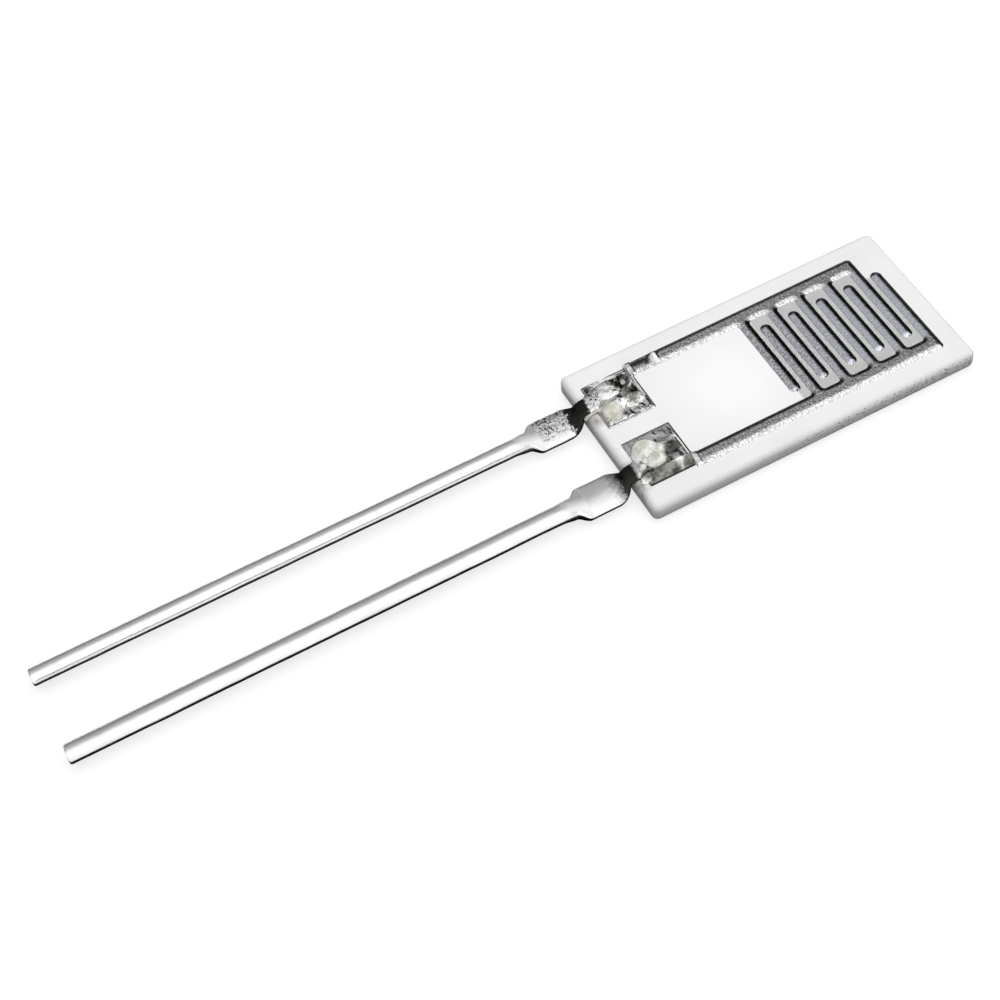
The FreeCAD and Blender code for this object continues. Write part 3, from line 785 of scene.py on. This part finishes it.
def back_solder_height(u, v):
    """A soft heap over the tab, mounds beside it and an uneven crater with a rim."""
    shade_facing = tab_distance(u, v, 0.63, 1.23)
    spread = SKIRT + 0.008 * ripple(u, v, 0, 2.1, 5.5)
    spread += 0.165 * math.exp(-(shade_facing / 0.17) ** 1.7) * smooth(-0.15, 0.5, u)
    spread += mound(u, v, (0.55, 1.25), (0.5, 0.5), 0.12, 1.0)
    spread += mound(u, v, (0.34, 0.42), (0.32, 0.26), 0.07, 1.0)
    spread += mound(u, v, (1.02, 0.5), (0.28, 0.22), 0.05, 1.0)
    bent = 1 + 0.45 * ripple(u, v, 0, 4.5, 17.0)
    crater = math.hypot((u - 1.0) / 0.17, (v - 1.12) / 0.2) * bent
    rim = math.exp(-((crater - 1.3) / 0.22) ** 2) * smooth(0.94, 1.1, u)
    spread += 0.07 * rim - 0.05 * math.exp(-(crater / 0.8) ** 4)
    spread += 0.026 * rough(u, v, 3.6, 71.3) * (1 - 0.8 * smooth(1.2, 1.35, u))
    return spread * on_pad(u, v)


def front_solder_height(u, v):
    """A rounded mass of flux over the tab, with beads, mounds and a rough right part."""
    shade_facing = tab_distance(u, v, 0.29, 0.89)
    spread = SKIRT + 0.006 * ripple(u, v, 0, 2.1, 15.5)
    spread += 0.16 * math.exp(-(shade_facing / 0.17) ** 1.7) * smooth(0.02, 0.3, u)
    spread += mound(u, v, (0.3, 0.2), (0.32, 0.18), 0.05, 1.0)
    spread += mound(u, v, (1.3, 0.8), (0.14, 0.6), 0.07, 1.0)
    spread += mound(u, v, (0.85, 0.3), (0.5, 0.3), 0.06, 1.0)
    spread += 0.03 * rough(u, v, 1.9, 58.1) * smooth(0.75, 0.95, u)
    spread *= on_pad(u, v)
    heap = max(mound(u, v, (0.43, 0.93), (0.42, 0.5), 0.33), mound(u, v, (0.53, 0.6), (0.36, 0.34), 0.38),
               mound(u, v, (0.12, 0.45), (0.22, 0.2), 0.26), mound(u, v, (0.08, 0.3), (0.24, 0.16), 0.25))
    beads = max(mound(u, v, (0.05, 0.81), (0.1, 0.1), 0.33), mound(u, v, (0.06, 0.53), (0.13, 0.11), 0.34),
                mound(u, v, (0.66, 0.96), (0.06, 0.06), 0.38))
    return max(spread, heap, beads) + 0.012 * rough(u, v, 3.2, 37.9) * on_pad(u, v)


def add_flow(name, low_y, start_u, field, material, replaced):
    """The solder's surface over one pad. Places are measured from the pad's corner."""
    length = PAD_RIGHT - PAD_LEFT - FLOW_MARGIN - start_u
    width = PAD_OUTER - PAD_INNER - 2 * FLOW_MARGIN
    across_x = round(length / FLOW_STEP)
    across_y = round(width / FLOW_STEP)
    points, faces = [], []
    for row in range(across_y + 1):
        for column in range(across_x + 1):
            u = start_u + length * column / across_x
            v = FLOW_MARGIN + width * row / across_y
            points.append((PAD_LEFT + u, low_y + v, FLOW_FLOOR + 0.004 + max(field(u, v), 0.0)))
    stride = across_x + 1
    for row in range(across_y):
        for column in range(across_x):
            base = row * stride + column
            faces.append((base, base + 1, base + stride + 1, base + stride))
    rim = list(range(across_x)) + [row * stride + across_x for row in range(across_y)]
    rim += [across_y * stride + column for column in range(across_x, 0, -1)]
    rim += [row * stride for row in range(across_y, 0, -1)]
    start = len(points)
    points += [(points[index][0], points[index][1], FLOW_FLOOR) for index in rim]
    count = len(rim)
    for index in range(count):
        after = (index + 1) % count
        faces.append((rim[index], start + index, start + after, rim[after]))
    faces.append(tuple(reversed(range(start, start + count))))
    return add_piece(name, points, faces, material, [replaced])


def add_trail(name, route, radius, material, seed):
    """A run of flux: a flattened bead that swells and thins along a smooth route."""
    around = 16
    samples = 40
    points, faces = [], []
    for sample in range(samples + 1):
        t = sample / samples * (len(route) - 1)
        index = min(int(t), len(route) - 2)
        before, first, second, after = (route[min(max(index + offset, 0), len(route) - 1)]
                                        for offset in (-1, 0, 1, 2))
        part = t - index
        middle = [0.5 * (2 * b + (c - a) * part + (2 * a - 5 * b + 4 * c - d) * part ** 2
                         + (3 * b - a - 3 * c + d) * part ** 3)
                  for a, b, c, d in zip(before, first, second, after)]
        heading = math.atan2(second[1] - first[1], second[0] - first[0])
        end = math.sqrt(max(1 - (2 * sample / samples - 1) ** 4, 0.0004))
        size = radius * end * (1 + 0.35 * ripple(sample * 0.25, 0, 0, 1.0, seed))
        for corner in range(around):
            angle = 2 * math.pi * corner / around
            side = size * math.cos(angle)
            points.append((middle[0] - math.sin(heading) * side, middle[1] + math.cos(heading) * side,
                           middle[2] + 0.6 * size * math.sin(angle)))
    for ring in range(samples):
        base = ring * around
        for corner in range(around):
            after = (corner + 1) % around
            faces.append((base + corner, base + after, base + around + after, base + around + corner))
    faces.append(tuple(reversed(range(around))))
    last = samples * around
    faces.append(tuple(range(last, last + around)))
    return add_piece(name, points, faces, material)


add_trail("back_flux_trail", FLUX_ROUTE, 0.062, flux_brown, 4.2)
add_flow("back_solder_flow", PAD_INNER, 0.03, back_solder_height, back_solder, "back_solder_joint")
add_flow("front_solder_flow", -PAD_OUTER, -0.14, front_solder_height, front_solder, "front_solder_joint")


# Floor and light

FLOOR_HALF = 0.6
FLOOR_GLOW = 0.72
FLOOR_GREY = 0.33
CAMERA_LENS = 73.413
CAMERA_PLACE = (-19.9732, -28.9047, 44.1818)
CAMERA_TURN = (0.921226, 0.301635, -0.038706, -0.242615)


def world_math(tree, operation, *values):
    """A maths node whose values are numbers or sockets."""
    node = tree.nodes.new("ShaderNodeMath")
    node.operation = operation
    for socket, value in zip(node.inputs, values):
        if isinstance(value, (int, float)):
            socket.default_value = value
        else:
            tree.links.new(value, socket)
    return node.outputs[0]


def world_ramp(tree, value, low, high, start, end):
    """A soft step from the start to the end as the value goes from low to high."""
    node = tree.nodes.new("ShaderNodeMapRange")
    node.interpolation_type = "SMOOTHSTEP"
    for key, number in (("From Min", low), ("From Max", high), ("To Min", start), ("To Max", end)):
        node.inputs[key].default_value = number
    tree.links.new(value, node.inputs["Value"])
    return node.outputs["Result"]


def make_floor():
    """A pale floor that shows white to the camera and to metal, and darker close under the part."""
    mesh = bpy.data.meshes.new("floor")
    corners = [(x * FLOOR_HALF, y * FLOOR_HALF, -1e-5) for x, y in ((-1, -1), (1, -1), (1, 1), (-1, 1))]
    mesh.from_pydata(corners, [], [(0, 1, 2, 3)])
    floor = bpy.data.objects.new("floor", mesh)
    bpy.context.scene.collection.objects.link(floor)
    material = bpy.data.materials.new("pale_floor")
    material.use_nodes = True
    tree = material.node_tree
    tree.nodes.clear()
    path = tree.nodes.new("ShaderNodeLightPath")
    diffuse = tree.nodes.new("ShaderNodeBsdfDiffuse")
    glow = tree.nodes.new("ShaderNodeEmission")
    both = tree.nodes.new("ShaderNodeAddShader")
    output = tree.nodes.new("ShaderNodeOutputMaterial")
    contact = world_ramp(tree, path.outputs["Ray Length"], 0.6 * MM, 1.0 * MM, 0.03, 1.0)
    mirrored = world_math(tree, "MULTIPLY", path.outputs["Is Glossy Ray"], contact)
    seen = world_math(tree, "MAXIMUM", path.outputs["Is Camera Ray"], mirrored)
    strength = world_math(tree, "MULTIPLY", seen, FLOOR_GLOW)
    tree.links.new(strength, glow.inputs["Strength"])
    unlit = world_math(tree, "SUBTRACT", path.outputs["Is Glossy Ray"], mirrored)
    grey = world_math(tree, "MULTIPLY", world_math(tree, "SUBTRACT", 1.0, unlit), FLOOR_GREY)
    tree.links.new(grey, diffuse.inputs["Color"])
    tree.links.new(diffuse.outputs[0], both.inputs[0])
    tree.links.new(glow.outputs[0], both.inputs[1])
    tree.links.new(both.outputs[0], output.inputs["Surface"])
    mesh.materials.append(material)


def make_world():
    """A soft box overhead that reaches far to the front, with dark cards at both ends and behind."""
    world = bpy.data.worlds.new("studio")
    bpy.context.scene.world = world
    world.use_nodes = True
    world.cycles.sampling_method = "NONE"
    tree = world.node_tree
    tree.nodes.clear()
    coordinates = tree.nodes.new("ShaderNodeTexCoord")
    split = tree.nodes.new("ShaderNodeSeparateXYZ")
    tree.links.new(coordinates.outputs["Generated"], split.inputs[0])
    x, y, z = (split.outputs[axis] for axis in "XYZ")
    path = tree.nodes.new("ShaderNodeLightPath")

    depth = world_math(tree, "ADD", world_ramp(tree, y, -0.4, 0.5, 0.95, 0.0),
                       world_ramp(tree, y, 0.5, 0.97, 0.56, 0.3))
    box = world_math(tree, "MULTIPLY", world_ramp(tree, x, -0.95, -0.6, 0.03, 1.0),
                     world_ramp(tree, x, 0.3, 0.52, 1.0, 0.03))
    rear = world_ramp(tree, y, 0.05, 0.35, 0.0, 1.0)
    sides = world_math(tree, "ADD", world_math(tree, "MULTIPLY", box, rear),
                       world_math(tree, "SUBTRACT", 1.0, rear))
    glossy = world_math(tree, "MULTIPLY", depth, sides)

    high = world_ramp(tree, z, 0.3, 0.85, 0.16, 1.88)
    diffuse = world_math(tree, "MULTIPLY", high, world_ramp(tree, y, -0.3, 0.7, 1.15, 0.85))
    diffuse = world_math(tree, "MULTIPLY", diffuse, world_ramp(tree, x, -0.8, 0.1, 0.55, 1.09))
    mirrored = path.outputs["Is Glossy Ray"]
    shown = world_math(tree, "ADD", world_math(tree, "MULTIPLY", glossy, mirrored),
                       world_math(tree, "MULTIPLY", diffuse, world_math(tree, "SUBTRACT", 1.0, mirrored)))
    camera = path.outputs["Is Camera Ray"]
    strength = world_math(tree, "ADD", camera,
                          world_math(tree, "MULTIPLY", shown, world_math(tree, "SUBTRACT", 1.0, camera)))
    background = tree.nodes.new("ShaderNodeBackground")
    output = tree.nodes.new("ShaderNodeOutputWorld")
    tree.links.new(strength, background.inputs["Strength"])
    tree.links.new(background.outputs[0], output.inputs["Surface"])


def make_camera():
    data = bpy.data.cameras.new("camera")
    data.sensor_width = 36
    data.lens = CAMERA_LENS
    data.clip_start = 0.001
    data.clip_end = 10
    camera = bpy.data.objects.new("camera", data)
    camera.rotation_mode = "QUATERNION"
    camera.rotation_quaternion = Quaternion(CAMERA_TURN)
    camera.location = Vector(CAMERA_PLACE) * MM
    bpy.context.scene.collection.objects.link(camera)
    bpy.context.scene.camera = camera


make_floor()
make_world()
make_camera()
bpy.context.scene.view_settings.view_transform = "Standard"
